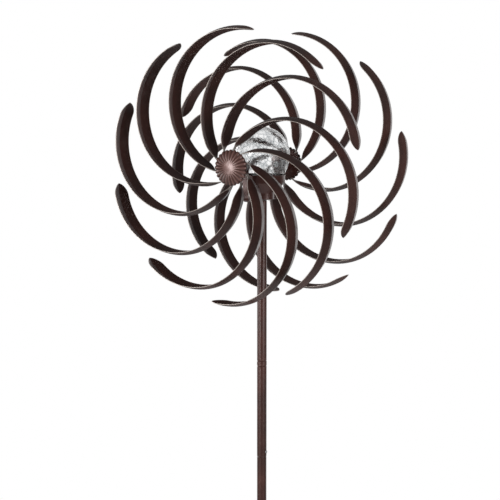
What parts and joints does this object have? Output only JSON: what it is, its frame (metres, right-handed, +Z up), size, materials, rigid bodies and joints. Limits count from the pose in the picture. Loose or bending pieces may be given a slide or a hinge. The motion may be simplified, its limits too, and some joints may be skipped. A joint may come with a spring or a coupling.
{
  "type": "kinetic wind sculpture",
  "caption": "Garden wind sculpture with two counter-curling rotors of crescent blades either side of a crackled glass solar globe, on a sectional staked pole.",
  "frame": {"origin": "on the ground line, at the middle of the step bar's underside, on the pole's axis", "axes": "+Z up along the pole; the front rotor faces -Y and both rotors turn about the Y direction; +X to the right seen from the front"},
  "size_m": [0.619, 0.3078, 1.9108],
  "materials": {
    "bronze_paint": "dark bronze powder coat, satin",
    "cap_bronze": "reddish bronze paint, satin",
    "zinc_steel": "zinc plated",
    "bearing_steel": "ground and polished",
    "crackle_glass": "clear glass crazed all over",
    "seal_rubber": "moulded, matt",
    "black_plastic": "moulded, matt",
    "white_plastic": "moulded, satin",
    "solar_glass": "silicon cell under clear resin",
    "circuit_board": "green solder mask",
    "battery_wrap": "printed-free shrink wrap",
    "led_epoxy": "clear warm epoxy"
  },
  "bodies": {
    "frame": {"front_axle": "zinc_steel", "front_spacer": "zinc_steel", "front_washer": "zinc_steel", "front_axle_nut": "zinc_steel", "rear_axle": "zinc_steel", "rear_spacer": "zinc_steel", "rear_washer": "zinc_steel", "rear_axle_nut": "zinc_steel", "yoke": "bronze_paint", "lamp_cup": "bronze_paint", "globe_seal": "seal_rubber", "glass_globe": "crackle_glass", "lamp_deck": "white_plastic", "solar_cell": "solar_glass", "led_lamp": "led_epoxy", "circuit_board": "circuit_board", "battery_tray": "black_plastic", "battery": "battery_wrap", "switch_body": "black_plastic", "centre_bolt": "zinc_steel", "centre_nut": "zinc_steel", "pole_top": "bronze_paint", "pole_ring": "bronze_paint", "pole_middle": "bronze_paint", "pole_lower": "bronze_paint", "pole_base": "bronze_paint", "upper_joint_screw": "zinc_steel", "lower_joint_screw": "zinc_steel", "ground_stake": "bronze_paint", "stake_screw": "zinc_steel"},
    "front_rotor": {"front_blade_01": "bronze_paint", "front_blade_02": "bronze_paint", "front_blade_03": "bronze_paint", "front_blade_04": "bronze_paint", "front_blade_05": "bronze_paint", "front_blade_06": "bronze_paint", "front_blade_07": "bronze_paint", "front_blade_08": "bronze_paint", "front_blade_09": "bronze_paint", "front_blade_10": "bronze_paint", "front_hub": "bronze_paint", "front_inner_bearing": "bearing_steel", "front_outer_bearing": "bearing_steel", "front_cap": "cap_bronze"},
    "rear_rotor": {"rear_blade_01": "bronze_paint", "rear_blade_02": "bronze_paint", "rear_blade_03": "bronze_paint", "rear_blade_04": "bronze_paint", "rear_blade_05": "bronze_paint", "rear_blade_06": "bronze_paint", "rear_blade_07": "bronze_paint", "rear_blade_08": "bronze_paint", "rear_blade_09": "bronze_paint", "rear_blade_10": "bronze_paint", "rear_hub": "bronze_paint", "rear_inner_bearing": "bearing_steel", "rear_outer_bearing": "bearing_steel", "rear_cap": "cap_bronze"},
    "switch": {"switch_knob": "white_plastic"}
  },
  "joints": [
    {"name": "front_rotor_spin", "type": "hinge", "parent": "frame", "child": "front_rotor", "pos_m": [0, -0.138, 1.4], "axis": [0, 1, 0], "continuous": true},
    {"name": "rear_rotor_spin", "type": "hinge", "parent": "frame", "child": "rear_rotor", "pos_m": [0, 0.117, 1.4], "axis": [0, 1, 0], "continuous": true},
    {"name": "switch_slide", "type": "slide", "parent": "frame", "child": "switch", "axis": [0, 1, 0], "range_m": [-0.002, 0.002]}
  ]
}
